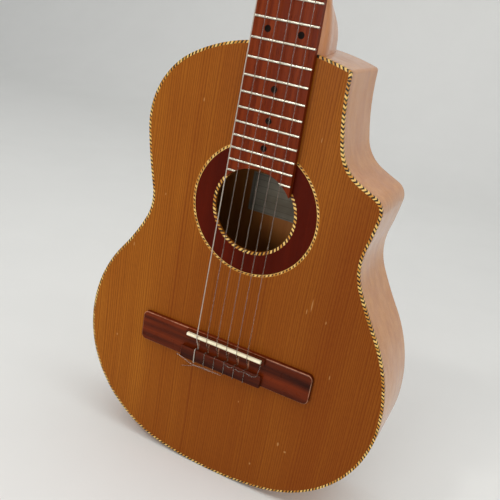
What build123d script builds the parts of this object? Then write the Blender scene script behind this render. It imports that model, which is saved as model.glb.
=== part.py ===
"""Small six-string guitar of the charango family: cutaway body, tie bridge, slotted headstock.

Row frame, mm: +Z up along the neck, the soundboard faces -Y, the cutaway is on the +X side.
The origin is at the tail end, in the middle of the body's width and depth.
"""

import math
import os

from build123d import *

os.makedirs("parts", exist_ok=True)

# ---- driving dimensions ----
SCALE = 530.0            # nut edge to the theoretical saddle line
BODY_DEPTH = 74.0        # soundboard face to back face
NUT_Z = 674.6            # where the fingerboard ends at the nut
TOP_T = 2.5              # soundboard
BACK_T = 3.0
RIB_T = 2.2
ROPE_W, ROPE_D = 2.2, 3.0     # rope edging: seen from the front, and down the side
BACK_ROUND = 2.6         # round-over of the back's edge
LINING_W, LINING_H = 4.5, 9.0
HOLE_X, HOLE_Z = 1.4, 271.9
HOLE_R = 36.6
ROSETTE_R = 58.7
ROPE_RING = 2.9
INLAY_T = 1.0
FB_T = 5.5               # fingerboard thickness
FB_X = 2.6               # fingerboard centre line
FB_W_NUT, FB_W_END = 47.4, 58.0
FB_END_Z = 290.0
FRETS = 21
FRET_H, FRET_W = 1.0, 1.9
BRIDGE_X, BRIDGE_Z0, BRIDGE_Z1 = -2.3, 115.2, 144.9
BRIDGE_L = 174.9
WING_H = 4.4
TIE_H = 8.5
SADDLE_Z, SADDLE_T, SADDLE_TOP = 141.6, 3.0, 10.3
SADDLE_X0, SADDLE_X1 = -38.5, 37.2
STRING_R = (0.46, 0.42, 0.38, 0.42, 0.40, 0.36)
STRING_GAP = 0.12        # between a string and what it lies in or on
HEAD_ANGLE = 13.0
HEAD_T = 19.0
HEAD_HALF = 31.0
SLOT_IN, SLOT_OUT = 6.5, 21.0
ROLLER_U = (35.0, 69.0, 103.0)
ROLLER_W = -9.5
ROLLER_R = 4.75
PIN_R = 3.0
FIT = 0.06               # running clearance of shafts in their holes
WORM_OFF = 9.5           # worm axis from the gear's axis, up the headstock
GEAR_R, WORM_R = 6.5, 2.6
TEETH = 14

FRONT_Y = -BODY_DEPTH / 2
SADDLE_HALF_SPAN = 25.8
NUT_HALF_SPAN = 21.2
NUT_TOP = 7.3

# A sketch on FRONT reads as seen by the viewer: x to the right, y up the neck, z towards the viewer.
FRONT = Plane(origin=(0, FRONT_Y, 0), x_dir=(1, 0, 0), z_dir=(0, -1, 0))
SIN_H = math.sin(math.radians(HEAD_ANGLE))
COS_H = math.cos(math.radians(HEAD_ANGLE))
HEAD_O = Vector(FB_X, FRONT_Y - 2.0, NUT_Z + 5.9)
HEAD = Plane(origin=HEAD_O, x_dir=(1, 0, 0), z_dir=(0, -COS_H, SIN_H))
HEAD_UP = Vector(0, SIN_H, COS_H)


def fret_z(n):
    return NUT_Z - SCALE * (1 - 2 ** (-n / 12))


def fb_half(z):
    """Half the fingerboard's width at height z."""
    share = (NUT_Z - z) / (NUT_Z - FB_END_Z)
    return (FB_W_NUT + (FB_W_END - FB_W_NUT) * share) / 2


# The body's plan as arcs that run into each other: radius, and degrees turned.
# Both chains start at the tail and go up.
BASS_ARCS = (
    (318, -10), (116, -76.5), (130, -41), (194, 12.5),
    (46, 40.5), (406, -7), (72, -66.5), (139, -34),
)
CUTAWAY_ARCS = (
    (278, 12), (116, 77.5), (147, 33.5), (396, -5.5), (52, -41), (252, 6.5),
    (14, 73.5), (285, -3.5), (34, -49.5), (222, -14.5), (3.2, 75),
)


def chain(arcs, direction):
    """Draws tangent arcs one after the other and gives the last of them."""
    last = None
    for radius, turn in arcs:
        start = last @ 1 if last else Vector(0, 0)
        heading = last % 1 if last else direction
        last = JernArc(start, heading, radius, turn)
    return last


def outline(inset=0.0):
    """The body's plan, brought in by inset."""
    with BuildSketch() as plan:
        with BuildLine():
            bass = chain(BASS_ARCS, Vector(-1, 0))
            cutaway = chain(CUTAWAY_ARCS, Vector(1, 0))
            TangentArc(cutaway @ 1, bass @ 1, tangent=cutaway % 1)
        make_face()
        if inset:
            offset(amount=-inset, kind=Kind.ARC)
    return plan.sketch


def save(part, label):
    part.label = label
    export_step(part, f"parts/{label}.step")
    print(label, len(part.solids()), round(part.volume, 1), part.is_valid)


def at_head(x, u, w):
    """A point of the headstock: x to the right, u up it, w out of its face."""
    return HEAD.from_local_coords((x, u, w))


# ---- the body's shell ----
# Each line is worked out once: the outer one, and those inside the rope edging, the ribs and the linings.
PLAN_OUT = outline()
PLAN_ROPE = outline(ROPE_W)
PLAN_RIB = outline(RIB_T)
PLAN_LINING = outline(RIB_T + LINING_W)
PLAN_BRACED = outline(RIB_T + LINING_W + 0.7)

with BuildPart() as soundboard:
    with BuildSketch(FRONT):
        add(PLAN_ROPE)
        with Locations((HOLE_X, HOLE_Z)):
            Circle(HOLE_R, mode=Mode.SUBTRACT)
    extrude(amount=-TOP_T)
    # The channel that the rosette is let into.
    with BuildSketch(FRONT):
        with Locations((HOLE_X, HOLE_Z)):
            Circle(ROSETTE_R)
            Circle(HOLE_R - 1, mode=Mode.SUBTRACT)
    extrude(amount=-INLAY_T, mode=Mode.SUBTRACT)
save(soundboard.part, "soundboard")

with BuildPart() as rope_edging:
    with BuildSketch(FRONT):
        add(PLAN_OUT)
        add(PLAN_ROPE, mode=Mode.SUBTRACT)
    extrude(amount=-ROPE_D)
save(rope_edging.part, "rope_edging")


def rib(label, side):
    """One rib: the wall on one side of the centre line, under the rope edging."""
    with BuildPart() as wall:
        with BuildSketch(FRONT.offset(-ROPE_D)):
            add(PLAN_OUT)
            add(PLAN_RIB, mode=Mode.SUBTRACT)
            with Locations((-side * 150, 205)):
                Rectangle(300, 440, mode=Mode.SUBTRACT)
        extrude(amount=-(BODY_DEPTH - ROPE_D - BACK_T))
    save(wall.part, label)


rib("rib_bass", -1)
rib("rib_cutaway", 1)

with BuildPart() as back:
    with BuildSketch(FRONT.offset(-BODY_DEPTH)):
        add(PLAN_OUT)
    extrude(amount=BACK_T)
    rim = back.faces().sort_by(Axis.Y)[-1].outer_wire().edges()
    fillet(rim, BACK_ROUND)
save(back.part, "back")

# ---- inside the body ----
NECK_BLOCK = (-34.0, 38.0, 366.0)     # left, right and lower edge
TAIL_BLOCK = (-32.0, 32.0, 14.0)      # left, right and upper edge


def block_plan(x0, x1, z0, z1):
    with BuildSketch() as plan:
        with Locations(((x0 + x1) / 2, (z0 + z1) / 2)):
            Rectangle(x1 - x0, z1 - z0)
    return plan.sketch


with BuildPart() as linings:
    for level in (-TOP_T, -(BODY_DEPTH - BACK_T - LINING_H)):
        with BuildSketch(FRONT.offset(level)):
            add(PLAN_RIB)
            add(PLAN_LINING, mode=Mode.SUBTRACT)
            add(block_plan(NECK_BLOCK[0], NECK_BLOCK[1], NECK_BLOCK[2], 440), mode=Mode.SUBTRACT)
            add(block_plan(TAIL_BLOCK[0], TAIL_BLOCK[1], -20, TAIL_BLOCK[2] + 4), mode=Mode.SUBTRACT)
        extrude(amount=-LINING_H)
save(linings.part, "linings")

with BuildPart() as neck_block:
    with BuildSketch(FRONT.offset(-TOP_T)):
        add(PLAN_RIB)
        add(block_plan(NECK_BLOCK[0], NECK_BLOCK[1], NECK_BLOCK[2], 440), mode=Mode.INTERSECT)
    extrude(amount=-(BODY_DEPTH - TOP_T - BACK_T))
save(neck_block.part, "neck_block")

with BuildPart() as tail_block:
    with BuildSketch(FRONT.offset(-TOP_T)):
        add(PLAN_RIB)
        add(block_plan(TAIL_BLOCK[0], TAIL_BLOCK[1], -20, TAIL_BLOCK[2] + 4), mode=Mode.INTERSECT)
    extrude(amount=-(BODY_DEPTH - TOP_T - BACK_T))
save(tail_block.part, "tail_block")

# Soundboard bracing: two harmonic bars across, and five fan braces under the lower bout.
with BuildPart() as top_braces:
    for bar_z in (206.0, 342.0):
        with BuildSketch(FRONT.offset(-TOP_T)):
            add(PLAN_BRACED)
            with Locations((0, bar_z)):
                Rectangle(320, 6.5, mode=Mode.INTERSECT)
        extrude(amount=-13.0)
    for fan in range(-2, 3):
        with BuildSketch(FRONT.offset(-TOP_T)):
            with Locations(Location((fan * 30.0, 118.0, 0), (0, 0, 1), fan * 9.0)):
                Rectangle(5.0, 150.0)
        extrude(amount=-4.5)
save(top_braces.part, "top_braces")

with BuildPart() as back_bars:
    for bar_z in (84.0, 200.0, 322.0):
        with BuildSketch(FRONT.offset(-(BODY_DEPTH - BACK_T))):
            add(PLAN_BRACED)
            with Locations((0, bar_z)):
                Rectangle(320, 7.0, mode=Mode.INTERSECT)
        extrude(amount=13.0)
save(back_bars.part, "back_bars")

with BuildPart() as paper_label:
    with BuildSketch(FRONT.offset(-(BODY_DEPTH - BACK_T))):
        with Locations((-3.5, 266.0)):
            Rectangle(62.0, 38.0)
    extrude(amount=0.25)
save(paper_label.part, "paper_label")

# ---- the rosette ----
RING_IN = HOLE_R + ROPE_RING
RING_OUT = ROSETTE_R - ROPE_RING

with BuildPart() as rosette_ring:
    with BuildSketch(FRONT.offset(-INLAY_T)):
        with Locations((HOLE_X, HOLE_Z)):
            Circle(RING_OUT)
            Circle(RING_IN, mode=Mode.SUBTRACT)
    extrude(amount=INLAY_T)
save(rosette_ring.part, "rosette_ring")

with BuildPart() as rosette_rope_outer:
    with BuildSketch(FRONT.offset(-INLAY_T)):
        with Locations((HOLE_X, HOLE_Z)):
            Circle(ROSETTE_R)
            Circle(RING_OUT, mode=Mode.SUBTRACT)
    extrude(amount=INLAY_T)
save(rosette_rope_outer.part, "rosette_rope_outer")

with BuildPart() as rosette_rope_inner:
    with BuildSketch(FRONT.offset(-INLAY_T)):
        with Locations((HOLE_X, HOLE_Z)):
            Circle(RING_IN)
            Circle(HOLE_R, mode=Mode.SUBTRACT)
    extrude(amount=INLAY_T)
save(rosette_rope_inner.part, "rosette_rope_inner")

# ---- neck and heel ----
# Half profiles as (half width, depth) from the glue face round to the middle of the back.
HEEL_PROFILE = ((27.4, 0.0), (31.0, 9.0), (28.6, 26.0), (22.3, 57.3), (0.0, 78.0))
NECK_PROFILE = ((26.0, 0.0), (25.7, 5.4), (21.4, 12.4), (12.6, 17.4), (0.0, 19.4))
NUT_PROFILE = ((23.8, 0.0), (23.7, 6.0), (20.4, 12.4), (12.6, 16.4), (0.0, 17.8))
HEEL_Z0, HEEL_LONG, HEEL_CURVE = 398.0, 48.7, 3.7
SHAFT_Z = 495.0
HEEL_SECTIONS = (398.0, 408.0, 418.0, 427.0, 436.0, 445.0, 454.0, 464.0, 478.0, SHAFT_Z)


def heel_share(z):
    """How much of the heel's profile is left at height z: all of it at the body, none on the shaft."""
    return math.exp(-(((z - HEEL_Z0) / HEEL_LONG) ** HEEL_CURVE)) if z < SHAFT_Z else 0.0


def neck_section(z, profile):
    section = Plane(origin=(FB_X, FRONT_Y, z), x_dir=(1, 0, 0), z_dir=(0, 0, 1))
    with BuildSketch(section) as shape:
        with BuildLine():
            left = [(-x, d) for x, d in profile]
            right = [(x, d) for x, d in reversed(profile[:-1])]
            curve = Spline(*left, *right)
            Line(curve @ 1, curve @ 0)
        make_face()
    return shape.sketch


def heel_profile(z):
    share = heel_share(z)
    return [
        (nx + (hx - nx) * share, nd + (hd - nd) * share)
        for (nx, nd), (hx, hd) in zip(NECK_PROFILE, HEEL_PROFILE)
    ]


with BuildPart() as neck:
    for z in HEEL_SECTIONS:
        add(neck_section(z, heel_profile(z)))
    loft()
    add(neck_section(SHAFT_Z, NECK_PROFILE))
    add(neck_section(690.0, NUT_PROFILE))
    loft()
    # The heel meets the ribs, and its cap lies in the back's plane.
    with BuildSketch(FRONT.offset(10)):
        add(PLAN_OUT)
    extrude(amount=-160, mode=Mode.SUBTRACT)
    with BuildSketch(FRONT.offset(-BODY_DEPTH)):
        with Locations((0, 430)):
            Rectangle(200, 140)
    extrude(amount=-70, mode=Mode.SUBTRACT)
    # The end that the headstock is glued to.
    with BuildSketch(Plane(origin=HEAD_O, x_dir=(1, 0, 0), z_dir=HEAD_UP)):
        Rectangle(120, 120)
    extrude(amount=40, mode=Mode.SUBTRACT)
save(neck.part, "neck")

# ---- headstock ----


def head_plan():
    """The headstock's face, from the nut to the crest."""
    with BuildSketch() as plan:
        with BuildLine():
            right = Polyline((0, 0), (23.9, 0))
            flare = Spline(right @ 1, (26.5, 9.0), (HEAD_HALF, 17.0), tangents=((0.05, 1), (0.12, 1)))
            edge = Line(flare @ 1, (HEAD_HALF, 126.0))
            crest = Spline(edge @ 1, (20.0, 133.5), (10.5, 137.0), tangents=((0, 1), (-0.7, 0.7)))
            peak = Spline(crest @ 1, (0, 144.0), tangents=((-0.4, 1), (-1, 0)))
            Line(peak @ 1, right @ 0)
        make_face()
        mirror(about=Plane.YZ)
    return plan.sketch


HEAD_PLAN = head_plan()
VENEER_T = 2.0
SLOT_MID, SLOT_LONG = 69.0, 98.0


def cut_slots(back, depth):
    """Cuts the two string slots from depth behind the face on, and the ramps that lead the strings in."""
    with BuildSketch(HEAD.offset(-back)) as slots:
        for side in (-1, 1):
            with Locations((side * (SLOT_IN + SLOT_OUT) / 2, SLOT_MID)):
                SlotOverall(SLOT_LONG, SLOT_OUT - SLOT_IN, rotation=90)
    extrude(slots.sketch, amount=depth, mode=Mode.SUBTRACT)
    for side in (-1, 1):
        ramp = Plane(origin=at_head(side * SLOT_IN, 0, 0), x_dir=HEAD_UP, z_dir=(side, 0, 0))
        # Seen along the axis this way, the face is at y = 0 and the wood lies at side * y < 0.
        with BuildSketch(ramp) as wedge:
            with BuildLine():
                Polyline((6.5, side * 1.0), (6.5, 0), (26.0, -side * 7.0), (26.0, side * 1.0), close=True)
            make_face()
        extrude(wedge.sketch, amount=SLOT_OUT - SLOT_IN, mode=Mode.SUBTRACT)


with BuildPart() as headstock:
    with BuildSketch(HEAD.offset(-HEAD_T)):
        add(HEAD_PLAN)
    extrude(amount=HEAD_T - VENEER_T)
    back_edges = headstock.edges().filter_by(
        lambda e: abs(HEAD.to_local_coords(e.center()).Z + HEAD_T) < 0.01
    )
    fillet(back_edges.filter_by(lambda e: HEAD.to_local_coords(e.center()).Y > 1), 1.8)
    cut_slots(HEAD_T + 1, HEAD_T + 2)
    for side in (-1, 1):
        for u in ROLLER_U:
            bore = Plane(origin=at_head(side * 2.5, u, ROLLER_W), x_dir=HEAD_UP, z_dir=(side, 0, 0))
            with BuildSketch(bore):
                Circle(PIN_R + FIT)
            extrude(amount=40, mode=Mode.SUBTRACT)
save(headstock.part, "headstock")

with BuildPart() as head_veneer:
    with BuildSketch(HEAD.offset(-VENEER_T)):
        add(HEAD_PLAN)
    extrude(amount=VENEER_T)
    cut_slots(VENEER_T + 1, VENEER_T + 2)
save(head_veneer.part, "head_veneer")

# ---- fingerboard, frets, markers, nut ----


def fb_plan(z_low, z_high):
    with BuildSketch() as plan:
        with BuildLine():
            Polyline(
                (FB_X - fb_half(z_low), z_low), (FB_X + fb_half(z_low), z_low),
                (FB_X + fb_half(z_high), z_high), (FB_X - fb_half(z_high), z_high), close=True,
            )
        make_face()
    return plan.sketch


SLOT_W, SLOT_DEEP = 0.6, 1.8
DOT_R, DOT_T = 2.75, 1.2
DOTS = [(0.0, n) for n in (5, 7, 9, 15, 17, 19)] + [(-14.0, 12), (14.0, 12)]
DOT_SPOTS = [(FB_X + x, (fret_z(n) + fret_z(n - 1)) / 2) for x, n in DOTS]

with BuildPart() as fingerboard:
    with BuildSketch(FRONT):
        add(fb_plan(FB_END_Z, NUT_Z))
        with Locations((HOLE_X, HOLE_Z)):
            Circle(HOLE_R, mode=Mode.SUBTRACT)
    extrude(amount=FB_T)
    with BuildSketch(FRONT.offset(FB_T - SLOT_DEEP)):
        for n in range(1, FRETS + 1):
            with Locations((0, fret_z(n))):
                Rectangle(120, SLOT_W)
    extrude(amount=SLOT_DEEP, mode=Mode.SUBTRACT)
    with BuildSketch(FRONT.offset(FB_T - DOT_T)):
        with Locations(*DOT_SPOTS):
            Circle(DOT_R)
    extrude(amount=2, mode=Mode.SUBTRACT)
save(fingerboard.part, "fingerboard")

with BuildPart() as frets:
    for n in range(1, FRETS + 1):
        z = fret_z(n)
        half = fb_half(z)
        # The wire's section: a domed crown on the face, a tang in the slot.
        section = Plane(origin=(FB_X - half, FRONT_Y - FB_T, z), x_dir=(0, 0, 1), z_dir=(1, 0, 0))
        with BuildSketch(section):
            with BuildLine():
                Polyline(
                    (FRET_W / 2, 0), (SLOT_W / 2, 0), (SLOT_W / 2, -SLOT_DEEP),
                    (-SLOT_W / 2, -SLOT_DEEP), (-SLOT_W / 2, 0), (-FRET_W / 2, 0),
                )
                ThreePointArc((-FRET_W / 2, 0), (0, FRET_H), (FRET_W / 2, 0))
            make_face()
        extrude(amount=2 * half)
    with BuildSketch(FRONT):
        with Locations((HOLE_X, HOLE_Z)):
            Circle(HOLE_R)
    extrude(amount=20, mode=Mode.SUBTRACT)
save(frets.part, "frets")

with BuildPart() as fret_markers:
    with BuildSketch(FRONT.offset(FB_T - DOT_T)):
        with Locations(*DOT_SPOTS):
            Circle(DOT_R)
    extrude(amount=DOT_T)
save(fret_markers.part, "fret_markers")


def nut_x(i):
    return FB_X - NUT_HALF_SPAN + i * 2 * NUT_HALF_SPAN / 5


def saddle_x(i):
    return -1.6 - SADDLE_HALF_SPAN + i * 2 * SADDLE_HALF_SPAN / 5


with BuildPart() as nut:
    with BuildSketch(FRONT):
        with Locations((FB_X, NUT_Z + 2.6)):
            Rectangle(FB_W_NUT, 5.2)
    extrude(amount=NUT_TOP)
    fillet(nut.edges().filter_by(Axis.X).group_by(Axis.Y)[0], 1.2)
    for i in range(6):
        foot = (nut_x(i), FRONT_Y - NUT_TOP - STRING_GAP, NUT_Z - 1)
        with BuildSketch(Plane(origin=foot, x_dir=(1, 0, 0), z_dir=(0, 0, 1))):
            Circle(STRING_R[i] + STRING_GAP)
        extrude(amount=8, mode=Mode.SUBTRACT)
save(nut.part, "nut")

# ---- bridge and saddle ----
TIE_Z1 = 127.5
TIE_LONG = 83.0
BED_Z, BED_W, BED_H = 141.4, 6.6, 7.3     # the saddle's bed: middle, width, height
SEAT_H = 3.4             # floor of the saddle's slot
HOLE_H = 4.7             # height of the string holes, and their radius
HOLE_SIZE = 0.95

with BuildPart() as bridge:
    with BuildSketch(FRONT):
        with Locations((BRIDGE_X, (BRIDGE_Z0 + BRIDGE_Z1) / 2)):
            RectangleRounded(BRIDGE_L, BRIDGE_Z1 - BRIDGE_Z0, 5.0)
    extrude(amount=WING_H)
    fillet(bridge.faces().sort_by(Axis.Y)[0].outer_wire().edges(), 1.6)
    # The tie block at the tail side, and the saddle's bed at the neck side.
    with BuildSketch(FRONT):
        with Locations(((SADDLE_X0 + SADDLE_X1) / 2 - 1.2, (BRIDGE_Z0 + TIE_Z1) / 2)):
            RectangleRounded(TIE_LONG, TIE_Z1 - BRIDGE_Z0, 1.0)
    extrude(amount=TIE_H)
    with BuildSketch(FRONT):
        with Locations(((SADDLE_X0 + SADDLE_X1) / 2, BED_Z)):
            RectangleRounded(SADDLE_X1 - SADDLE_X0 + 5.0, BED_W, 1.0)
    extrude(amount=BED_H)
    tops = bridge.faces().filter_by(Axis.Y).sort_by(Axis.Y)[0:1]
    fillet(tops.edges(), 0.8)
    # The saddle's slot, open at both ends of its bed.
    with BuildSketch(FRONT.offset(SEAT_H)):
        with Locations(((SADDLE_X0 + SADDLE_X1) / 2, SADDLE_Z)):
            Rectangle(SADDLE_X1 - SADDLE_X0, SADDLE_T)
    extrude(amount=8, mode=Mode.SUBTRACT)
    for i in range(6):
        mouth = (saddle_x(i), FRONT_Y - HOLE_H, BRIDGE_Z0 - 2)
        with BuildSketch(Plane(origin=mouth, x_dir=(1, 0, 0), z_dir=(0, 0, 1))):
            Circle(HOLE_SIZE)
        extrude(amount=24, mode=Mode.SUBTRACT)
save(bridge.part, "bridge")

with BuildPart() as saddle:
    section = Plane(origin=(SADDLE_X0, FRONT_Y, SADDLE_Z), x_dir=(0, 0, 1), z_dir=(1, 0, 0))
    with BuildSketch(section):
        with BuildLine():
            half = SADDLE_T / 2
            shoulder = SADDLE_TOP - 1.1
            Polyline((half, shoulder), (half, SEAT_H), (-half, SEAT_H), (-half, shoulder))
            ThreePointArc((-half, shoulder), (0, SADDLE_TOP), (half, shoulder))
        make_face()
    extrude(amount=SADDLE_X1 - SADDLE_X0)
save(saddle.part, "saddle")

# ---- tuning machines ----
# The outer strings go to the rollers nearest the nut.
ROLLER_OF = (0, 1, 2, 2, 1, 0)
POST_X = (-17.5, -13.6, -10.6, 10.6, 13.6, 17.5)
GEAR_IN, GEAR_OUT = 34.6, 38.4
WORM_X = 36.5
EAR_W = (-3.2, -17.0)
PLATE_T = 1.2
SHAFT_R = 1.5            # of the worm's shaft
SCREW_U = (17.5, 52.0, 86.0, 120.5)
# Down the button: level, half width, half thickness.
BUTTON_SECTIONS = (
    (-22.0, 3.4, 3.0), (-26.0, 6.4, 3.6), (-31.0, 8.2, 3.8), (-36.0, 7.4, 3.5), (-39.6, 4.6, 2.4),
)


def across_head(x, u, w, side):
    """A sketch plane across the headstock, looking out to its side: x runs up the head."""
    return Plane(origin=at_head(side * x, u, w), x_dir=HEAD_UP, z_dir=(side, 0, 0))


for side, label in ((-1, "tuner_plate_bass"), (1, "tuner_plate_cutaway")):
    with BuildPart() as plate:
        with BuildSketch(across_head(HEAD_HALF, SLOT_MID, ROLLER_W, side)):
            SlotOverall(112.0, 12.5)
        extrude(amount=PLATE_T)
        for u in ROLLER_U:
            for w in EAR_W:
                # An ear that carries the worm's shaft.
                root = at_head(side * HEAD_HALF, u - WORM_OFF, w - PLATE_T / 2)
                with BuildSketch(Plane(origin=root, x_dir=(side, 0, 0), z_dir=HEAD.z_dir)):
                    with BuildLine():
                        Polyline((5.5, 3.4), (0, 3.4), (0, -3.4), (5.5, -3.4))
                        ThreePointArc((5.5, -3.4), (8.9, 0), (5.5, 3.4))
                    make_face()
                    with Locations((WORM_X - HEAD_HALF, 0)):
                        Circle(SHAFT_R + FIT, mode=Mode.SUBTRACT)
                extrude(amount=PLATE_T)
                # The foot that joins the ear to the plate.
                with BuildSketch(across_head(HEAD_HALF, u - WORM_OFF, w, side)):
                    Rectangle(6.8, 3.2)
                extrude(amount=PLATE_T)
            with BuildSketch(across_head(HEAD_HALF - 1, u, ROLLER_W, side)):
                Circle(PIN_R + FIT)
            extrude(amount=4, mode=Mode.SUBTRACT)
        for u in SCREW_U:
            with BuildSketch(across_head(HEAD_HALF - 1, u, ROLLER_W, side)):
                Circle(1.2)
            extrude(amount=4, mode=Mode.SUBTRACT)
    save(plate.part, label)

with BuildPart() as plate_screws:
    for side in (-1, 1):
        for u in SCREW_U:
            seat = across_head(HEAD_HALF + PLATE_T, u, ROLLER_W, side)
            with BuildSketch(seat):
                Circle(2.3)
            extrude(amount=1.1)
            outermost = plate_screws.edges().group_by(Axis.X)[-1 if side > 0 else 0]
            fillet(outermost.filter_by(GeomType.CIRCLE), 0.7)
            with BuildSketch(seat.offset(-PLATE_T)):
                Circle(1.15)
            extrude(amount=PLATE_T)
            with BuildSketch(seat.offset(0.6)):
                Rectangle(5.0, 0.6)
            extrude(amount=1.0, mode=Mode.SUBTRACT)
save(plate_screws.part, "plate_screws")

for i in range(6):
    side = -1 if i < 3 else 1
    u = ROLLER_U[ROLLER_OF[i]]
    out = across_head(0, u, ROLLER_W, side)
    worm = Plane(origin=at_head(side * WORM_X, u - WORM_OFF, 0), x_dir=(1, 0, 0), z_dir=HEAD.z_dir)

    with BuildPart() as roller:
        with BuildSketch(out.offset(2.8)):
            Circle(PIN_R)
        extrude(amount=GEAR_OUT + 0.2 - 2.8)
        with BuildSketch(out.offset(SLOT_IN + 0.4)):
            Circle(ROLLER_R)
        extrude(amount=SLOT_OUT - SLOT_IN - 0.8)
        # The hole that the string goes through.
        eye = at_head(POST_X[i], u, ROLLER_W - 6)
        with BuildSketch(Plane(origin=eye, x_dir=(1, 0, 0), z_dir=HEAD.z_dir)):
            Circle(0.9)
        extrude(amount=12, mode=Mode.SUBTRACT)
    save(roller.part, f"roller_{i + 1}")

    with BuildPart() as gear:
        with BuildSketch(out.offset(GEAR_IN)):
            Circle(GEAR_R - 1.2)
            with PolarLocations(GEAR_R - 1.3, TEETH):
                Rectangle(2.4, 1.35)
            Circle(GEAR_R, mode=Mode.INTERSECT)
            Circle(PIN_R, mode=Mode.SUBTRACT)
        extrude(amount=GEAR_OUT - GEAR_IN)
        # The screw that holds the gear on the roller's end.
        with BuildSketch(out.offset(GEAR_OUT + 0.2)):
            Circle(3.6)
        extrude(amount=1.2)
        with BuildSketch(out.offset(GEAR_OUT + 0.8)):
            Rectangle(8.0, 0.7)
        extrude(amount=1.2, mode=Mode.SUBTRACT)
        with BuildSketch(out.offset(GEAR_OUT)):
            Circle(3.6)
            Circle(PIN_R, mode=Mode.SUBTRACT)
        extrude(amount=0.2)
    save(gear.part, f"gear_{i + 1}")

    with BuildPart() as shaft:
        with BuildSketch(worm.offset(-30.0)):
            Circle(SHAFT_R)
        extrude(amount=28.2)
        with BuildSketch(worm.offset(EAR_W[1] + 0.9)):
            Circle(WORM_R - 0.7)
        extrude(amount=EAR_W[0] - EAR_W[1] - 1.8)
        # The thread, as collars that a real worm's crests would sweep.
        for turn in range(6):
            with BuildSketch(worm.offset(-14.9 + turn * 1.9)):
                Circle(WORM_R)
            extrude(amount=0.9)
        # The head that keeps the shaft in its ears.
        with BuildSketch(worm.offset(-2.3)):
            Circle(2.3)
        extrude(amount=0.9)
    save(shaft.part, f"worm_{i + 1}")

    with BuildPart() as button:
        with BuildSketch(worm.offset(-22.0)):
            Circle(2.6)
        extrude(amount=2.6)
        for level, wide, thick in BUTTON_SECTIONS:
            with BuildSketch(worm.offset(level)):
                Ellipse(wide, thick, rotation=90)
        loft()
        with BuildSketch(worm.offset(-30.0)):
            Circle(SHAFT_R)
        extrude(amount=14, mode=Mode.SUBTRACT)
    save(button.part, f"button_{i + 1}")

# ---- strings ----


def spot(x, height, z):
    """A point in front of the soundboard."""
    return Vector(x, FRONT_Y - height, z)


def strand(points, radii, r):
    """A round strand along straight runs joined by arcs."""
    with BuildLine() as way:
        FilletPolyline(*points, radius=radii)
    line = way.line
    with BuildSketch(Plane(origin=line @ 0, z_dir=line % 0)) as end:
        Circle(r)
    sweep(end.sketch, path=line)


# The tied ends: each lies over the tie block and under its neighbour, and two are left long.
TOP_OF_TIE = TIE_H + 0.6
LINK_Z = TIE_Z1 - 1.5
ENDS = {
    2: [([spot(-9.0, 7.7, 113.2), spot(-25.4, 7.9, 111.9), spot(-39.9, 8.4, 106.4)], [20.0])],
    3: [
        (
            [spot(saddle_x(3) + 0.4, TOP_OF_TIE, LINK_Z), spot(saddle_x(3) + 4.6, TOP_OF_TIE, LINK_Z - 1.5),
             spot(saddle_x(4) - 2.3, TOP_OF_TIE, LINK_Z)],
            [3.0],
        ),
        (
            [spot(2.0, 9.0, 113.5), spot(-13.5, 9.2, 112.6),
             spot(-29.5, 9.3, 112.5), spot(-46.0, 9.7, 117.8)],
            [30.0, 24.0],
        ),
    ],
    4: [
        (
            [spot(saddle_x(4) + 0.4, TOP_OF_TIE, LINK_Z), spot(saddle_x(4) + 4.6, TOP_OF_TIE, LINK_Z - 1.4),
             spot(saddle_x(5) - 2.3, TOP_OF_TIE, LINK_Z)],
            [3.0],
        ),
    ],
    5: [
        (
            [spot(saddle_x(5) + 0.4, TOP_OF_TIE, LINK_Z), spot(saddle_x(5) + 7.0, TOP_OF_TIE, LINK_Z - 1.2),
             spot(36.0, TOP_OF_TIE + 0.2, LINK_Z + 0.8), spot(37.8, TOP_OF_TIE + 0.4, 139.0)],
            [4.0, 2.0],
        ),
    ],
}

# Each runs from its loop over the tie block, through the block, over the saddle and the nut to its roller.
for i in range(6):
    r = STRING_R[i]
    xs, xn = saddle_x(i), nut_x(i)
    last = at_head(POST_X[i], ROLLER_U[ROLLER_OF[i]], ROLLER_W + ROLLER_R + 0.3 + r)
    route = [
        spot(xs - 0.9, 6.9, TIE_Z1 + r + 0.3),
        spot(xs - 0.9, TIE_H + r + STRING_GAP, TIE_Z1 + r + 0.3),
        spot(xs - 0.6, TIE_H + r + STRING_GAP, BRIDGE_Z0 - r - 0.25),
        spot(xs, HOLE_H, BRIDGE_Z0 - r - 0.25),
        spot(xs, HOLE_H, TIE_Z1 + 2.2),
        spot(xs, SADDLE_TOP + r + 0.2, SADDLE_Z - 0.3),
        spot(xn, NUT_TOP + 0.1, NUT_Z + 5.7),
        last,
    ]
    with BuildPart() as string:
        strand(route, [0.9, 0.9, 0.9, 1.4, 2.0, 2.0], r)
        for points, radii in ENDS.get(i, []):
            strand(points, radii, 0.4)
    save(string.part, f"string_{i + 1}")
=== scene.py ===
import bisect
import math
import random

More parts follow.
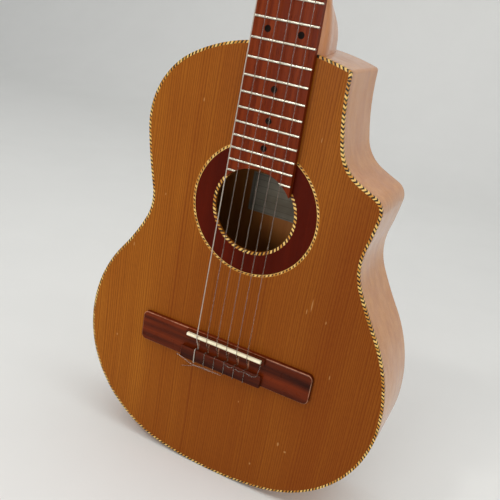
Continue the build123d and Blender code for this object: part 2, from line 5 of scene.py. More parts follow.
import bmesh
import bpy
from mathutils import Euler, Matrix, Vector


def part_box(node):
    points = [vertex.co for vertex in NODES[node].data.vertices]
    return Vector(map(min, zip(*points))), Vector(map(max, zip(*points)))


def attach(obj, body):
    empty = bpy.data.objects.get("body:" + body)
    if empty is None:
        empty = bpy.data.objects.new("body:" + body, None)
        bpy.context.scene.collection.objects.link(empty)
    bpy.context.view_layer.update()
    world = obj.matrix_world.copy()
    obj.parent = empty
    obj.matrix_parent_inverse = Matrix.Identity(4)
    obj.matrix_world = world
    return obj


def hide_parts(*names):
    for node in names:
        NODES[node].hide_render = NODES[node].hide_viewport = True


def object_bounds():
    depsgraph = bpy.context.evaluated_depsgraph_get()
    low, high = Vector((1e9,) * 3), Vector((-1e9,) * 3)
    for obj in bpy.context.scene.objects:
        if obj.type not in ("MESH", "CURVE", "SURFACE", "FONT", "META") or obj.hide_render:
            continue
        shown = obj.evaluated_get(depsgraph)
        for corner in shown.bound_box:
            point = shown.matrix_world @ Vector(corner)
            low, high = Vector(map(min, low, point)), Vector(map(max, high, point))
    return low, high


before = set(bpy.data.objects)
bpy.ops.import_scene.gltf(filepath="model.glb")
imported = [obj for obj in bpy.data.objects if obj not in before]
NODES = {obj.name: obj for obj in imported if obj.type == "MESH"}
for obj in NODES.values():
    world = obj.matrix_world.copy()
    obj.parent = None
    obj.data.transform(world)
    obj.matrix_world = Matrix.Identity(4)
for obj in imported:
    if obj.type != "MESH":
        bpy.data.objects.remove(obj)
CAD_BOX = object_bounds()
MM = 0.001

# ---------------------------------------------------------------- node helpers


class Tree:
    """One material's nodes, with short calls for the ones used here."""

    def __init__(self, name, roughness, coat=0.0, coat_rough=0.1, metallic=0.0, ior=1.5, gloss=0.5):
        self.mat = bpy.data.materials.new(name)
        self.mat.use_nodes = True
        self.t = self.mat.node_tree
        self.t.nodes.clear()
        self.out = self.t.nodes.new("ShaderNodeOutputMaterial")
        self.b = self.t.nodes.new("ShaderNodeBsdfPrincipled")
        self.t.links.new(self.b.outputs[0], self.out.inputs[0])
        self.b.inputs["Roughness"].default_value = roughness
        self.b.inputs["Coat Weight"].default_value = coat
        self.b.inputs["Coat Roughness"].default_value = coat_rough
        self.b.inputs["Metallic"].default_value = metallic
        self.b.inputs["IOR"].default_value = ior
        self.b.inputs["Specular IOR Level"].default_value = gloss
        self.pos = self.t.nodes.new("ShaderNodeTexCoord").outputs["Object"]
        self.xyz = self.node("ShaderNodeSeparateXYZ", {0: self.pos}).outputs

    def node(self, kind, inputs=None, **props):
        n = self.t.nodes.new(kind)
        for k, v in props.items():
            setattr(n, k, v)
        for k, v in (inputs or {}).items():
            if isinstance(v, bpy.types.NodeSocket):
                self.t.links.new(v, n.inputs[k])
            else:
                n.inputs[k].default_value = v
        return n

    def math(self, op, a, b=0.0, clamp=False):
        return self.node("ShaderNodeMath", {0: a, 1: b}, operation=op, use_clamp=clamp).outputs[0]

    def vector(self, op, a, b):
        return self.node("ShaderNodeVectorMath", {0: a, 1: b}, operation=op).outputs[0]

    def noise(self, cells, detail, rough, warp=0.0, at=None):
        """Noise with this many cells to the metre along x, y and z."""
        place = self.vector("MULTIPLY", at or self.pos, cells)
        return self.node(
            "ShaderNodeTexNoise",
            {"Vector": place, "Scale": 1.0, "Detail": detail, "Roughness": rough, "Distortion": warp},
        ).outputs["Fac"]

    def ramp(self, fac, *stops):
        """Grey levels, each stop being a position and a level."""
        n = self.node("ShaderNodeValToRGB", {0: fac})
        e = n.color_ramp.elements
        while len(e) < len(stops):
            e.new(0.5)
        for el, (position, level) in zip(e, stops):
            el.position = position
            el.color = (level, level, level, 1)
        return n.outputs[0]

    def mix(self, fac, a, b, mode="MIX"):
        n = self.node("ShaderNodeMix", data_type="RGBA", blend_type=mode)
        for i, v in ((0, fac), (6, a), (7, b)):
            if isinstance(v, bpy.types.NodeSocket):
                self.t.links.new(v, n.inputs[i])
            else:
                n.inputs[i].default_value = v if i == 0 else (*v, 1)
        return n.outputs[2]

    def tinted(self, col, tint):
        """A colour multiplied by a tint."""
        return self.mix(1.0, col, tint, "MULTIPLY")

    def put(self, name, socket):
        self.t.links.new(socket, self.b.inputs[name])

    def bump(self, height, strength, dist):
        n = self.node("ShaderNodeBump", {"Height": height, "Strength": strength, "Distance": dist})
        self.t.links.new(n.outputs[0], self.b.inputs["Normal"])

    def range(self, v, lo, hi, a=0.0, b=1.0):
        """v from lo to hi becomes a to b, and goes no further."""
        return self.node("ShaderNodeMapRange", {0: v, 1: lo, 2: hi, 3: a, 4: b}, clamp=True).outputs[0]


def srgb(r, g, b):
    """An sRGB colour, 0 to 255, as the linear one that nodes use."""
    return tuple(((c / 255 + 0.055) / 1.055) ** 2.4 if c > 10 else c / 255 / 12.92 for c in (r, g, b))


# ---------------------------------------------------------------- materials
RINGS_PER_METRE = 470.0
# Pale dents where the varnish has chipped: place across and up the board, half width, half length.
DENTS = (
    (0.069, 0.207, 0.0006, 0.0060), (0.0655, 0.200, 0.0005, 0.0026), (0.066, 0.062, 0.0010, 0.0022),
    (0.074, 0.057, 0.0012, 0.0012), (0.043, 0.028, 0.0009, 0.0014), (-0.112, 0.205, 0.0006, 0.0022),
    (-0.120, 0.105, 0.0008, 0.0014), (-0.06, 0.352, 0.0006, 0.0018), (0.084, 0.196, 0.0006, 0.0016),
    (-0.085, 0.262, 0.0005, 0.0012), (0.098, 0.148, 0.0005, 0.0024), (0.02, 0.088, 0.0006, 0.0010),
    (0.0475, 0.344, 0.0004, 0.0022),
)


def dents(t):
    """One inside the dents and zero outside them."""
    hit = None
    for x, z, half_width, half_length in DENTS:
        off = t.vector("SUBTRACT", t.pos, (x, 0, z))
        scaled = t.vector("MULTIPLY", off, (1 / half_width, 0, 1 / half_length))
        near = t.node("ShaderNodeVectorMath", {0: scaled}, operation="LENGTH").outputs[1]
        one = t.range(near, 0.55, 1.15, 1.0, 0.0)
        hit = one if hit is None else t.math("MAXIMUM", hit, one)
    return hit


def softwood_top():
    """Old varnished softwood: upright rings, slow bands, fine fibre, mottle, dents, and painted light and
    shade across the board.
    """
    t = Tree("cedar_top", roughness=0.42, gloss=0.07)
    wander = t.noise((5, 1, 3.2), 2, 0.5)
    across = t.math("ADD", t.xyz[0], t.math("MULTIPLY", t.math("SUBTRACT", wander, 0.5), 0.006))
    uneven = t.math("MULTIPLY", t.noise((70, 0, 0.8), 2, 0.6), 5.0)
    rings = t.math("FRACT", t.math("ADD", t.math("MULTIPLY", across, RINGS_PER_METRE), uneven))
    late = t.ramp(rings, (0.0, 0.0), (0.45, 0.12), (0.8, 0.7), (0.93, 1.0), (1.0, 0.0))
    fibre = t.noise((2600, 2600, 60), 3, 0.6)
    band = t.noise((26, 1, 1.1), 3, 0.55)
    broad = t.noise((7, 1, 5), 2, 0.5)
    light = t.mix(t.range(band, 0.35, 0.65), srgb(144, 75, 15), srgb(164, 94, 24))
    dark = t.mix(band, srgb(92, 34, 3), srgb(112, 50, 6))
    col = t.mix(t.math("MULTIPLY", late, 0.78), light, dark)
    col = t.mix(t.range(fibre, 0.35, 0.7), t.tinted(col, (0.86, 0.84, 0.8)), col)
    col = t.mix(t.range(broad, 0.35, 0.68, 0.0, 0.4), col, srgb(104, 40, 5))
    # Painted light and shade: the board is painted lighter and yellower at the upper left, and darker and
    # redder towards the lower right.
    slope = t.math("SUBTRACT", t.xyz[0], t.math("MULTIPLY", t.math("SUBTRACT", t.xyz[2], 0.2), 0.35))
    painted_shade_amount = t.range(slope, -0.16, 0.10, 0.0, 0.52)
    # Painted shade: mixes towards dark red at the lower right, and towards a lighter tint at the upper left.
    col = t.mix(painted_shade_amount, t.tinted(col, (1.2, 1.36, 1.3)), srgb(106, 42, 6))
    mottle = t.noise((620, 620, 210), 2, 0.6)
    col = t.mix(t.range(mottle, 0.42, 0.66, 0.0, 0.3), col, t.tinted(col, (0.72, 0.66, 0.6)))
    hit = dents(t)
    t.put("Base Color", t.mix(t.math("MULTIPLY", hit, 0.5), col, srgb(196, 146, 88)))
    rough = t.range(t.noise((30, 30, 12), 4, 0.6), 0.3, 0.7, 0.36, 0.5)
    t.put("Roughness", t.math("ADD", rough, t.math("MULTIPLY", late, 0.05)))
    ridges = t.math("ADD", t.math("MULTIPLY", late, -0.4), t.math("MULTIPLY", fibre, 0.5))
    t.bump(t.math("SUBTRACT", ridges, hit), 0.22, 0.00012)
    return t.mat


def hardwood(
    name, light, dark, pore, period, contrast, rough, coat, pores, along="z", coat_rough=0.15, figure=0.4,
    patch=0.3, gloss=0.4, raw_before=None, painted_highlight_band=None,
):
    """A hardwood: slow colour bands, fine fibre, and dark pores drawn out along the grain.

    raw_before is a y: nearer the front than that the wood is bare, without varnish.
    The pair of y after raw_before marks a painted highlight: between them the edge is painted pale, standing
    in for light caught on a glossy bevel.
    """
    t = Tree(name, roughness=rough, coat=coat, coat_rough=coat_rough, gloss=gloss)

    def grain(a, b):
        """Noise cells to the metre: a across the grain and b along it."""
        return (b, a, a) if along == "x" else (a, a, b)

    warp = t.noise(grain(9, 2.4), 3, 0.55)
    wide_warp = t.math("MULTIPLY", warp, 0.02)
    deep_warp = t.math("MULTIPLY", warp, 0.014)
    sway = t.node("ShaderNodeCombineXYZ", {0: wide_warp, 1: deep_warp, 2: wide_warp}).outputs[0]
    shift = t.vector("ADD", t.pos, sway)
    bands = t.noise(grain(period, period * 0.018), 4, 0.62, at=shift)
    wide = t.noise(grain(34, 2.2), 3, 0.5, at=shift)
    fibre = t.noise(grain(2600, 55), 3, 0.6)
    pits = t.range(t.noise(grain(2100, 120), 1, 0.4), 0.66, 0.74)
    col = t.mix(t.math("MULTIPLY", t.range(bands, 0.36, 0.64), contrast), light, dark)
    col = t.mix(t.math("MULTIPLY", t.range(wide, 0.42, 0.62), figure), col, dark)
    blot = t.noise((13, 13, 9), 2, 0.5)
    col = t.mix(t.range(blot, 0.4, 0.66, 0.0, patch), col, t.tinted(col, (0.78, 0.74, 0.72)))
    col = t.mix(t.range(fibre, 0.4, 0.75, 0.0, 0.22), col, pore)
    col = t.mix(t.math("MULTIPLY", pits, pores), col, pore)
    if raw_before is not None:
        raw = t.math("LESS_THAN", t.xyz[1], raw_before)
        col = t.mix(t.math("MULTIPLY", raw, 0.8), col, t.tinted(col, (0.68, 0.60, 0.46)))
    # Painted highlight: a pale band along the top edge, broken up by noise, standing in for light caught on
    # the bevel.
    if painted_highlight_band is not None:
        highlight_breakup = t.range(t.noise((260, 260, 260), 2, 0.5), 0.35, 0.6, 0.15, 0.6)
        begins = t.range(t.xyz[1], painted_highlight_band[0], painted_highlight_band[0] + 0.2 * MM)
        ends = t.range(t.xyz[1], painted_highlight_band[1], painted_highlight_band[1] + 0.3 * MM, 1.0, 0.0)
        edge = t.math("MULTIPLY", t.math("MULTIPLY", begins, ends), highlight_breakup)
        col = t.mix(edge, col, srgb(206, 150, 118))
    t.put("Base Color", col)
    wear = t.noise((40, 40, 40), 4, 0.65)
    t.put("Roughness", t.range(wear, 0.3, 0.7, rough - 0.06, rough + 0.1))
    t.bump(t.math("SUBTRACT", t.math("MULTIPLY", fibre, 0.5), pits), 0.18, 0.00012)
    return t.mat


def strip_wood(name, a, b):
    """One colour of the dyed wood that the ropes are made of."""
    t = Tree(name, roughness=0.4, coat=0.1, coat_rough=0.2, gloss=0.15)
    fine = t.noise((700, 700, 700), 3, 0.6)
    broad = t.noise((60, 60, 60), 2, 0.5)
    both = t.math("ADD", t.math("MULTIPLY", fine, 0.6), t.math("MULTIPLY", broad, 0.5), clamp=True)
    t.put("Base Color", t.mix(both, a, b))
    t.put("Roughness", t.range(broad, 0.3, 0.7, 0.32, 0.5))
    t.bump(fine, 0.2, 0.0001)
    return t.mat


def bone():
    t = Tree("bone", roughness=0.32, coat=0.2, coat_rough=0.15)
    t.b.inputs["Subsurface Weight"].default_value = 0.08
    t.b.inputs["Subsurface Radius"].default_value = (0.004, 0.003, 0.002)
    t.b.inputs["Subsurface Scale"].default_value = 0.3
    streak = t.noise((220, 900, 900), 3, 0.6)
    cloud = t.noise((40, 60, 60), 2, 0.5)
    col = t.mix(t.range(streak, 0.35, 0.7), srgb(244, 236, 206), srgb(226, 212, 172))
    t.put("Base Color", t.mix(t.range(cloud, 0.5, 0.7, 0, 0.4), col, srgb(206, 188, 146)))
    t.put("Roughness", t.range(cloud, 0.3, 0.7, 0.26, 0.42))
    t.bump(streak, 0.08, 0.0001)
    return t.mat


def metal(name, clean, dull, rough, scratch, tarnish):
    """A worn metal: scratch gives the brush marks' cells to the metre, and tarnish how far it dulls."""
    t = Tree(name, roughness=rough, metallic=1.0)
    marks = t.noise(scratch, 3, 0.6)
    stain = t.noise((120, 120, 120), 4, 0.6)
    t.put("Base Color", t.mix(t.range(stain, 0.45, 0.7, 0, tarnish), clean, dull))
    brushed = t.range(marks, 0.3, 0.7, rough - 0.06, rough + 0.08)
    t.put("Roughness", t.math("ADD", brushed, t.range(stain, 0.5, 0.75, 0, 0.15)))
    t.bump(marks, 0.06, 0.00005)
    return t.mat


def nylon(name, tint, rough, clearness):
    t = Tree(name, roughness=rough, ior=1.53, gloss=0.2)
    t.b.inputs["Transmission Weight"].default_value = clearness
    n = t.noise((900, 900, 60), 2, 0.5)
    t.put("Base Color", t.mix(n, tint, tuple(min(1, c * 1.12) for c in tint)))
    t.put("Roughness", t.range(n, 0.3, 0.7, rough - 0.04, rough + 0.08))
    t.bump(n, 0.05, 0.00004)
    return t.mat


def plastic(name, a, b, rough, pearl=0.0, coat=0.1, gloss=0.5):
    """A clouded plastic; pearl is how strongly flakes of light show in it."""
    t = Tree(name, roughness=rough, coat=coat, coat_rough=0.08, gloss=gloss)
    cloud = t.noise((160, 160, 160), 3, 0.6, warp=1.2)
    col = t.mix(t.range(cloud, 0.35, 0.68), a, b)
    if pearl:
        place = t.vector("MULTIPLY", t.pos, (260, 190, 260))
        cells = t.node("ShaderNodeTexVoronoi", {"Vector": place, "Scale": 1.0, "Randomness": 1.0})
        swirl = t.node("ShaderNodeSeparateXYZ", {0: cells.outputs["Color"]}).outputs[0]
        col = t.mix(t.math("MULTIPLY", swirl, pearl), col, tuple(min(1, c * 1.25) for c in a))
    t.put("Base Color", col)
    t.put("Roughness", t.range(cloud, 0.3, 0.7, rough - 0.05, rough + 0.09))
    t.bump(cloud, 0.05, 0.0001)
    return t.mat


def paper():
    """Paper darker than clean paper, partly from age and partly painted shade for the dark inside of the
    body, with a plain ruled border and a few ruled lines, and nothing written on it.
    """
    t = Tree("aged_paper_painted_shade", roughness=0.85)
    pulp = t.noise((180, 180, 180), 5, 0.65)
    stain = t.noise((22, 22, 22), 3, 0.6)
    # The pulp colours are painted darker: partly aged paper, partly painted shade for the label's place
    # inside the body.
    col = t.mix(pulp, srgb(118, 112, 99), srgb(140, 134, 118))
    col = t.mix(t.range(stain, 0.45, 0.65, 0, 0.6), col, srgb(88, 74, 52))
    lo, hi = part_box("paper_label")
    u = t.range(t.xyz[0], lo[0], hi[0])
    v = t.range(t.xyz[2], lo[2], hi[2])
    du = t.math("ABSOLUTE", t.math("SUBTRACT", u, 0.5))
    dv = t.math("ABSOLUTE", t.math("SUBTRACT", v, 0.5))
    edge = t.math("MAXIMUM", du, dv)
    border = t.math("MULTIPLY", t.math("GREATER_THAN", edge, 0.452), t.math("LESS_THAN", edge, 0.466))
    line = t.math("LESS_THAN", t.math("FRACT", t.math("MULTIPLY", v, 6.0)), 0.07)
    rules = t.math("MULTIPLY", line, t.math("LESS_THAN", edge, 0.40))
    ink = t.math("MAXIMUM", border, rules)
    t.put("Base Color", t.mix(t.math("MULTIPLY", ink, 0.6), col, srgb(70, 60, 52)))
    t.put("Roughness", t.range(pulp, 0.3, 0.7, 0.78, 0.92))
    t.bump(pulp, 0.15, 0.0002)
    return t.mat


def body_wood(name, figure, raw_before=None):
    """The reddish wood of the ribs and the back, under a thick varnish."""
    return hardwood(
        name, srgb(203, 139, 72), srgb(178, 106, 47), srgb(122, 64, 24), period=150, contrast=0.6,
        rough=0.34, coat=0.7, pores=0.25, coat_rough=0.14, figure=figure, patch=0.25, gloss=0.3,
        raw_before=raw_before,
    )


BACK_SKIN = 0.2 * MM
BRIDGE_WING_T = 4.4 * MM
WING_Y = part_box("soundboard")[0].y - BRIDGE_WING_T

RIB = body_wood("rib_wood", figure=0.35)
BACK = body_wood("back_wood", figure=0.45, raw_before=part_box("back")[0].y + BACK_SKIN)
NECK = hardwood(
    "neck_wood", srgb(208, 142, 88), srgb(182, 114, 64), srgb(130, 72, 34), period=170, contrast=0.5,
    rough=0.36, coat=0.6, pores=0.3, coat_rough=0.16, figure=0.3, patch=0.2,
)
INNER = hardwood(
    "inside_wood", srgb(160, 104, 62), srgb(132, 78, 42), srgb(90, 48, 22), period=160, contrast=0.6,
    rough=0.75, coat=0.0, pores=0.35, gloss=0.1,
)
ROSEWOOD = hardwood(
    "rosewood", srgb(124, 46, 12), srgb(38, 9, 2), srgb(12, 4, 2), along="x", period=120,
    contrast=0.9, rough=0.28, coat=0.1, pores=0.5, coat_rough=0.05, figure=0.85, patch=0.6, gloss=0.05,
    # A painted highlight, painted pale, along the top edge of the bridge's wings.
    painted_highlight_band=(WING_Y + 0.2 * MM, WING_Y + 0.8 * MM),
)
VENEER = hardwood(
    "rosewood_veneer", srgb(98, 30, 10), srgb(50, 11, 4), srgb(20, 5, 3), period=170,
    contrast=0.8, rough=0.3, coat=0.3, pores=0.5, coat_rough=0.08, figure=0.65, gloss=0.1,
)
RING = hardwood(
    "rosette_wood", srgb(92, 22, 4), srgb(66, 12, 2), srgb(26, 4, 1), period=90, contrast=0.5,
    rough=0.34, coat=0.02, pores=0.3, coat_rough=0.10, figure=0.6, patch=0.5, gloss=0.03,
)
BOARD = hardwood(
    "fingerboard_wood", srgb(138, 56, 17), srgb(92, 26, 6), srgb(36, 9, 3), period=230, contrast=0.7,
    rough=0.38, coat=0.02, pores=0.7, coat_rough=0.2, figure=0.5, patch=0.4, gloss=0.05,
)
TOP = softwood_top()
BONE = bone()
PALE = strip_wood("strip_pale", srgb(240, 204, 124), srgb(214, 164, 78))
GOLD = strip_wood("strip_gold", srgb(216, 158, 66), srgb(176, 112, 34))
DARK = strip_wood("strip_dark", srgb(58, 36, 8), srgb(30, 18, 4))
GREEN = strip_wood("strip_green", srgb(98, 84, 30), srgb(54, 42, 12))
BROWN = strip_wood("strip_brown", srgb(92, 40, 10), srgb(50, 18, 5))
FRET = metal("fret_wire", (0.52, 0.50, 0.41), (0.30, 0.26, 0.18), 0.26, (500, 500, 90), 0.5)
BRASS = metal("tuner_brass", (0.83, 0.62, 0.30), (0.48, 0.33, 0.14), 0.30, (90, 600, 600), 0.55)
STEEL = metal("tuner_steel", (0.74, 0.73, 0.70), (0.45, 0.43, 0.40), 0.27, (700, 90, 700), 0.4)
ROLLER = plastic("roller_white", srgb(236, 230, 214), srgb(216, 208, 188), 0.34)
PEARL = plastic("button_pearl", srgb(234, 226, 200), srgb(206, 194, 160), 0.22, pearl=0.6, coat=0.3)
BLACK = plastic("black_dot", (0.006, 0.004, 0.003), (0.014, 0.008, 0.005), 0.4, coat=0.0, gloss=0.02)
WHITE_NYLON = nylon("nylon_white", (0.58, 0.51, 0.43), 0.26, 0.4)
CLEAR_NYLON = nylon("nylon_clear", (0.58, 0.49, 0.40), 0.2, 0.97)
STRINGS = range(1, 7)
# The string nearest the bass side is milky, and the others are clear.
NYLON = {n: WHITE_NYLON if n == 1 else CLEAR_NYLON for n in STRINGS}
PAPER = paper()

PAINT = {
    "soundboard": TOP, "rib_bass": RIB, "rib_cutaway": RIB, "back": BACK, "neck": NECK, "headstock": NECK,
    "head_veneer": VENEER, "linings": INNER, "neck_block": INNER, "tail_block": INNER, "top_braces": INNER,
    "back_bars": INNER, "rosette_ring": RING, "fingerboard": BOARD, "frets": FRET, "fret_markers": BLACK,
    "nut": BONE, "saddle": BONE, "bridge": ROSEWOOD, "paper_label": PAPER, "tuner_plate_bass": BRASS,
    "tuner_plate_cutaway": BRASS, "plate_screws": STEEL,
}
for n in STRINGS:
    PAINT[f"roller_{n}"] = ROLLER
    PAINT[f"gear_{n}"] = BRASS
    PAINT[f"worm_{n}"] = STEEL
    PAINT[f"button_{n}"] = PEARL
    PAINT[f"string_{n}"] = NYLON[n]


def paint(obj, mat):
    if not obj.material_slots:
        obj.data.materials.append(mat)
    for s in obj.material_slots:
        s.material = mat


for name, mat in PAINT.items():
    paint(NODES[name], mat)

# ---------------------------------------------------------------- rope edging and rosette ropes
STRIP_MATERIALS = (PALE, DARK, GOLD, GREEN, RING, BROWN)
PALE_LOOK, DARK_LOOK, GOLD_LOOK, GREEN_LOOK, RING_LOOK, BROWN_LOOK = range(6)
LIGHT_STRIPS = (PALE_LOOK, GOLD_LOOK)
STRIP_STEPS = 3
WOBBLE = 0.13
SAME_POINT = 2e-6
FLAT_FACE = 1e-4


def front_loop(node):
    """The outer edge of a node's front face as (x, z) points, counter-clockwise as seen from the front."""
    bm = bmesh.new()
    bm.from_mesh(NODES[node].data)
    bmesh.ops.remove_doubles(bm, verts=bm.verts, dist=SAME_POINT)
    face_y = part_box(node)[0].y
    front = {
        f for f in bm.faces if f.normal.y < -0.99 and abs(f.calc_center_median().y - face_y) < FLAT_FACE
    }
    border = {e for e in bm.edges if len([f for f in e.link_faces if f in front]) == 1}
    loops = []
    while border:
        edge = border.pop()
        loop = list(edge.verts)
        while True:
            ahead = [e for e in loop[-1].link_edges if e in border]
            if not ahead:
                break
            border.remove(ahead[0])
            loop.append(ahead[0].other_vert(loop[-1]))
        loops.append([(v.co.x, v.co.z) for v in loop[:-1]])
    bm.free()
    outer = max(loops, key=lambda pts: max(x for x, _ in pts) - min(x for x, _ in pts))
    area = sum(a[0] * b[1] - b[0] * a[1] for a, b in zip(outer, outer[1:] + outer[:1]))
    if area < 0:
        outer.reverse()
    start = min(range(len(outer)), key=lambda i: (round(outer[i][1], 5), abs(outer[i][0])))
    return outer[start:] + outer[:start]


class Line:
    """A closed line of (x, z) points, read by the distance along it."""

    REACH = 0.6 * MM

    def __init__(self, pts):
        self.pts = pts
        self.run = [0.0]
        for a, b in zip(pts, pts[1:] + pts[:1]):
            self.run.append(self.run[-1] + math.dist(a, b))
        self.length = self.run[-1]

    def point(self, s):
        s %= self.length
        i = min(bisect.bisect_right(self.run, s) - 1, len(self.pts) - 1)
        a, b = self.pts[i], self.pts[(i + 1) % len(self.pts)]
        f = (s - self.run[i]) / max(self.run[i + 1] - self.run[i], 1e-9)
        return a[0] + (b[0] - a[0]) * f, a[1] + (b[1] - a[1]) * f

    def inside(self, s, off):
        """The point off inwards of the line at s."""
        x, z = self.point(s)
        p, q = self.point(s - self.REACH), self.point(s + self.REACH)
        h = math.dist(p, q)
        return x - (q[1] - p[1]) / h * off, z + (q[0] - p[0]) / h * off


def rope(name, line, section, strips, seed, dark, share, flip=None):
    """A rope purfling round a closed line, of slanted light and dark strips turn about.

    section goes round the bar as (inwards, y, lean, look): look is the material of the side from this corner
    to the next, or None for the strips, and lean is how far the corner runs ahead along the line.
    dark is the pair of dark looks, and share is how many light and dark strips have their first look.
    flip(line, s) gives 1 to -1: which way the strips lean there.
    """
    rng = random.Random(seed)
    count = strips * 2
    half = line.length / count
    wobble = [rng.uniform(-WOBBLE, WOBBLE) * half for _ in range(count)]
    looks = []
    for _ in range(strips):
        looks += [LIGHT_STRIPS[rng.random() > share[0]], dark[rng.random() > share[1]]]
    bm = bmesh.new()
    rows = []
    for j in range(count):
        for m in range(STRIP_STEPS):
            f = m / STRIP_STEPS
            s = (j + f) * half + wobble[j] * (1 - f) + wobble[(j + 1) % count] * f
            way = flip(line, s) if flip else 1
            row = []
            for off, y, lean, _ in section:
                x, z = line.inside(s + lean * way, off)
                row.append(bm.verts.new((x, y, z)))
            rows.append(row)
    for i, row in enumerate(rows):
        ahead = rows[(i + 1) % len(rows)]
        for c in range(len(section)):
            d = (c + 1) % len(section)
            f = bm.faces.new((row[c], ahead[c], ahead[d], row[d]))
            look = section[c][3]
            f.material_index = looks[i // STRIP_STEPS] if look is None else look
    bmesh.ops.recalc_face_normals(bm, faces=bm.faces)
    return mesh_piece(name, bm, STRIP_MATERIALS, "instrument")


def mesh_piece(name, bm, materials, body, smooth=False):
    """Makes an object of bm, lets it ride on a body, and gives it."""
    mesh = bpy.data.meshes.new(name)
    for f in bm.faces:
        f.smooth = smooth
    bm.to_mesh(mesh)
    bm.free()
    for m in materials:
        mesh.materials.append(m)
    obj = bpy.data.objects.new(name, mesh)
    bpy.context.collection.objects.link(obj)
    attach(obj, body)
    return obj


NECK_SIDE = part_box("fingerboard")[1].x
SHOULDER_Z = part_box("rope_edging")[1].z - 16 * MM
FLIP_STEP = 1.2 * MM


def shoulder_lean(line, s):
    """The short length from the neck to the cutaway corner was bent the other way round."""
    way = 0
    for k in range(-2, 3):
        x, z = line.point(s + k * FLIP_STEP)
        way += -1 if z > SHOULDER_Z and x > NECK_SIDE else 1
    return way / 5


edge_lo, edge_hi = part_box("rope_edging")
EDGE_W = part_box("soundboard")[0].x - edge_lo.x
FACE_Y, EDGE_BACK = edge_lo.y, edge_hi.y
ROUND = 0.35 * MM
ROUND_MID = 0.1 * MM
LEAN, SIDE_LEAN = 1.6 * MM, 1.3 * MM
FACE_ROUND_LEAN, SIDE_ROUND_LEAN = 0.15 * MM, 0.1 * MM
STRIP_PITCH = 3.6 * MM
edge_line = Line(front_loop("rope_edging"))
edging = rope(
    "rope_edging_strips", edge_line,
    (
        (EDGE_W, FACE_Y, LEAN, None),
        (ROUND, FACE_Y, FACE_ROUND_LEAN, None),
        (ROUND_MID, FACE_Y + ROUND_MID, 0.0, None),
        (0.0, FACE_Y + ROUND, SIDE_ROUND_LEAN, None),
        (0.0, EDGE_BACK, SIDE_LEAN, None),
        (EDGE_W, EDGE_BACK, LEAN, None),
    ),
    round(edge_line.length / STRIP_PITCH), seed=7, dark=(DARK_LOOK, GREEN_LOOK), share=(0.55, 0.75),
    flip=shoulder_lean,
)
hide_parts("rope_edging")

ring_lo, ring_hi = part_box("rosette_ring")
HOLE_X, HOLE_Z = (ring_lo.x + ring_hi.x) / 2, (ring_lo.z + ring_hi.z) / 2
RING_R = (ring_hi.x - ring_lo.x) / 2
CIRCLE_POINTS = 720


def circle(r):
    turn = 2 * math.pi / CIRCLE_POINTS
    return Line([
        (HOLE_X + r * math.cos(i * turn), HOLE_Z + r * math.sin(i * turn)) for i in range(CIRCLE_POINTS)
    ])


# The outer rope is a thin one between two light lines, with ring wood inside them.
out_lo, out_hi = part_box("rosette_rope_outer")
out_r = (out_hi.x - out_lo.x) / 2
out_w = out_r - RING_R
LINE_W = 0.32 * MM
LINES_IN = 2.15 * MM
OUTER_LEAN = 1.2 * MM
OUTER_PITCH = 3.7 * MM
outer_rope = rope(
    "rosette_rope_outer_strips", circle(out_r),
    (
        (out_w, FACE_Y, 0.0, RING_LOOK),
        (LINES_IN, FACE_Y, 0.0, PALE_LOOK),
        (LINES_IN - LINE_W, FACE_Y, OUTER_LEAN, None),
        (LINE_W, FACE_Y, 0.0, GOLD_LOOK),
        (0.0, FACE_Y, 0.0, GOLD_LOOK),
        (0.0, out_hi.y, 0.0, GOLD_LOOK),
        (out_w, out_hi.y, 0.0, RING_LOOK),
    ),
    round(2 * math.pi * out_r / OUTER_PITCH), seed=5, dark=(BROWN_LOOK, DARK_LOOK), share=(0.45, 0.6),
)
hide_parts("rosette_rope_outer")

# The inner rope is plain strips down to the hole, with a thin line of ring wood outside them.
in_lo, in_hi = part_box("rosette_rope_inner")
in_r = (in_hi.x - in_lo.x) / 2
INNER_W = 2.9 * MM
RING_LINE_W = 0.5 * MM
INNER_PITCH = 3.85 * MM
inner_rope = rope(
    "rosette_rope_inner_strips", circle(in_r),
    (
        (INNER_W, FACE_Y, LEAN, None),
        (RING_LINE_W, FACE_Y, 0.0, RING_LOOK),
        (0.0, FACE_Y, 0.0, RING_LOOK),
        (0.0, in_hi.y, 0.0, RING_LOOK),
        (INNER_W, in_hi.y, LEAN, None),
    ),
    round(2 * math.pi * in_r / INNER_PITCH), seed=3, dark=(BROWN_LOOK, DARK_LOOK), share=(0.5, 0.7),
)
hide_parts("rosette_rope_inner")

# ---------------------------------------------------------------- the strings' turns on their rollers
HEAD_TILT = math.radians(13)
HEAD_OUT = Vector((0, -math.cos(HEAD_TILT), math.sin(HEAD_TILT)))
HEAD_UP = Vector((0, math.sin(HEAD_TILT), math.cos(HEAD_TILT)))
SLOT_MIDDLE = 13.75 * MM
TURNS = 3.3
TURN_STEPS = 26
ROLLER_GAP, TURN_GAP = 0.04 * MM, 0.06 * MM
END_STEPS, END_STEP, END_BEND = 6, 0.8 * MM, 0.05 * MM
STRING_SIDES = 10
STRING_TIP = 1.2 * MM


def tube(points, radius):
    """A closed tube of mesh along points."""
    bm = bmesh.new()
    rings = []
    across = Vector((1, 0, 0))
    turn = 2 * math.pi / STRING_SIDES
    for i, p in enumerate(points):
        ahead = (points[min(i + 1, len(points) - 1)] - points[max(i - 1, 0)]).normalized()
        across = (across - ahead * across.dot(ahead)).normalized()
        up = ahead.cross(across)
        ring = []
        for k in range(STRING_SIDES):
            ring.append(bm.verts.new(p + (across * math.cos(k * turn) + up * math.sin(k * turn)) * radius))
        rings.append(ring)
    for a, b in zip(rings, rings[1:]):
        for k in range(STRING_SIDES):
            beside = (k + 1) % STRING_SIDES
            bm.faces.new((a[k], a[beside], b[beside], b[k]))
    bm.faces.new(rings[0][::-1])
    bm.faces.new(rings[-1])
    return bm


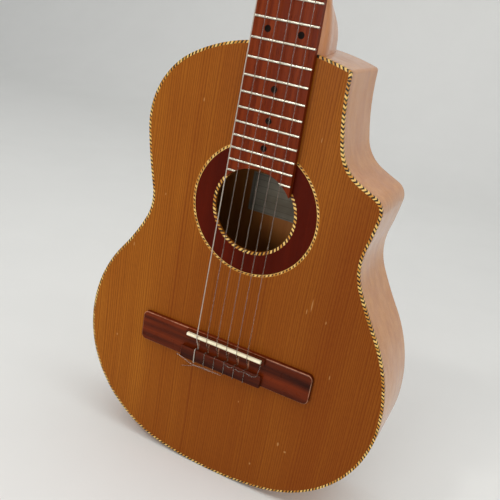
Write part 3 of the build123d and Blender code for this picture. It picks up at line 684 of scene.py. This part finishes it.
def string_end(n):
    """Where string n reaches its roller, and its radius, from its highest points."""
    co = [v.co for v in NODES[f"string_{n}"].data.vertices]
    top = max(c.z for c in co)
    xs = [c.x for c in co if c.z > top - STRING_TIP]
    return sum(xs) / len(xs), (max(xs) - min(xs)) / 2, top


def wind(n):
    """String n's turns round the roller that it reaches, and its loose end."""
    x, r, top = string_end(n)
    rollers = [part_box(f"roller_{k}") for k in STRINGS]
    same_side = [(lo, hi) for lo, hi in rollers if lo.x < x < hi.x]
    lo, hi = min(same_side, key=lambda box: abs((box[0].z + box[1].z) / 2 - top))
    axle = Vector((0, (lo.y + hi.y) / 2, (lo.z + hi.z) / 2))
    reach = (hi.y - lo.y) / 2 + r + ROLLER_GAP
    head_lo, head_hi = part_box("head_veneer")
    middle = (head_lo.x + head_hi.x) / 2
    slot_middle = middle + math.copysign(SLOT_MIDDLE, x - middle)
    way = 1 if x < slot_middle else -1
    route = []
    for i in range(int(TURNS * TURN_STEPS) + 1):
        a = 2 * math.pi * i / TURN_STEPS
        at = axle + (HEAD_OUT * math.cos(a) + HEAD_UP * math.sin(a)) * reach
        route.append(Vector((x + way * i / TURN_STEPS * (2 * r + TURN_GAP), at.y, at.z)))
    ahead = (route[-1] - route[-2]).normalized()
    for k in range(END_STEPS):
        route.append(route[-1] + ahead * END_STEP + Vector((way * END_BEND * (k + 1), 0, 0)))
    winding = mesh_piece(f"string_{n}_winding", tube(route, r), (NYLON[n],), "instrument", smooth=True)


for n in STRINGS:
    wind(n)

# ---------------------------------------------------------------- floor, light, camera
FLOOR_Z = CAD_BOX[0][2] - 0.5 * MM
FLOOR_FRONT, FLOOR_SIDE, WALL_TOP = -3.5, 5.0, 4.0
COVE_Y, COVE_R, COVE_STEPS = 1.3, 0.7, 12


def floor_paint():
    t = Tree("pale_floor", roughness=0.75)
    t.put("Base Color", t.mix(t.noise((8, 8, 8), 4, 0.6), srgb(226, 226, 223), srgb(232, 232, 229)))
    return t.mat


def make_floor():
    """A floor that curves up into a wall behind the object."""
    profile = [(FLOOR_FRONT, 0.0)]
    for i in range(COVE_STEPS + 1):
        a = math.pi / 2 * i / COVE_STEPS
        profile.append((COVE_Y + COVE_R * math.sin(a), COVE_R * (1 - math.cos(a))))
    profile.append((COVE_Y + COVE_R, WALL_TOP))
    bm = bmesh.new()
    left = [bm.verts.new((-FLOOR_SIDE, y, FLOOR_Z + z)) for y, z in profile]
    right = [bm.verts.new((FLOOR_SIDE, y, FLOOR_Z + z)) for y, z in profile]
    for i in range(len(profile) - 1):
        f = bm.faces.new((left[i], right[i], right[i + 1], left[i + 1]))
        f.smooth = True
    mesh = bpy.data.meshes.new("floor")
    bm.to_mesh(mesh)
    bm.free()
    mesh.materials.append(floor_paint())
    floor = bpy.data.objects.new("floor", mesh)
    bpy.context.collection.objects.link(floor)


make_floor()
BODY_MIDDLE = Vector((0.0, 0.0, 0.3))
WARM_WHITE = (1.0, 0.99, 0.97)
WINDOW_WHITE = (1.0, 0.985, 0.96)


def area(name, loc, size, power, colour):
    """An area light of so many watts, turned towards the middle of the body."""
    light = bpy.data.lights.new(name, "AREA")
    light.shape = "RECTANGLE"
    light.size, light.size_y = size
    light.energy = power
    light.color = colour
    obj = bpy.data.objects.new(name, light)
    obj.location = loc
    obj.rotation_euler = (BODY_MIDDLE - Vector(loc)).to_track_quat("-Z", "Y").to_euler()
    bpy.context.collection.objects.link(obj)


area("overhead", (0.15, -0.35, 2.2), (2.4, 1.8), 25, WARM_WHITE)
area("high_lamp", (-0.72, -1.15, 1.9), (0.2, 0.2), 6, WARM_WHITE)
area("front_window", (-0.36, -1.9, 0.5), (0.7, 0.7), 12, WINDOW_WHITE)
area("right_wall", (1.9, 0.1, 0.9), (1.4, 1.4), 6, WARM_WHITE)
world = bpy.data.worlds.new("studio")
world.use_nodes = True
sky = world.node_tree.nodes["Background"]
sky.inputs["Color"].default_value = (0.95, 0.97, 1.0, 1)
sky.inputs["Strength"].default_value = 0.42
bpy.context.scene.world = world
bpy.context.scene.view_settings.view_transform = "Standard"

CAMERA_PLACE = (0.21009, -0.53692, 0.44932)
CAMERA_TURN = (68.23, -9.5267, 26.1425)
SENSOR, LENS = 36, 48.752
NEAREST = 0.01
cam_data = bpy.data.cameras.new("camera")
cam_data.sensor_width = SENSOR
cam_data.lens = LENS
cam_data.clip_start = NEAREST
cam = bpy.data.objects.new("camera", cam_data)
cam.location = CAMERA_PLACE
cam.rotation_euler = Euler([math.radians(v) for v in CAMERA_TURN], "XYZ")
bpy.context.collection.objects.link(cam)
bpy.context.scene.camera = cam
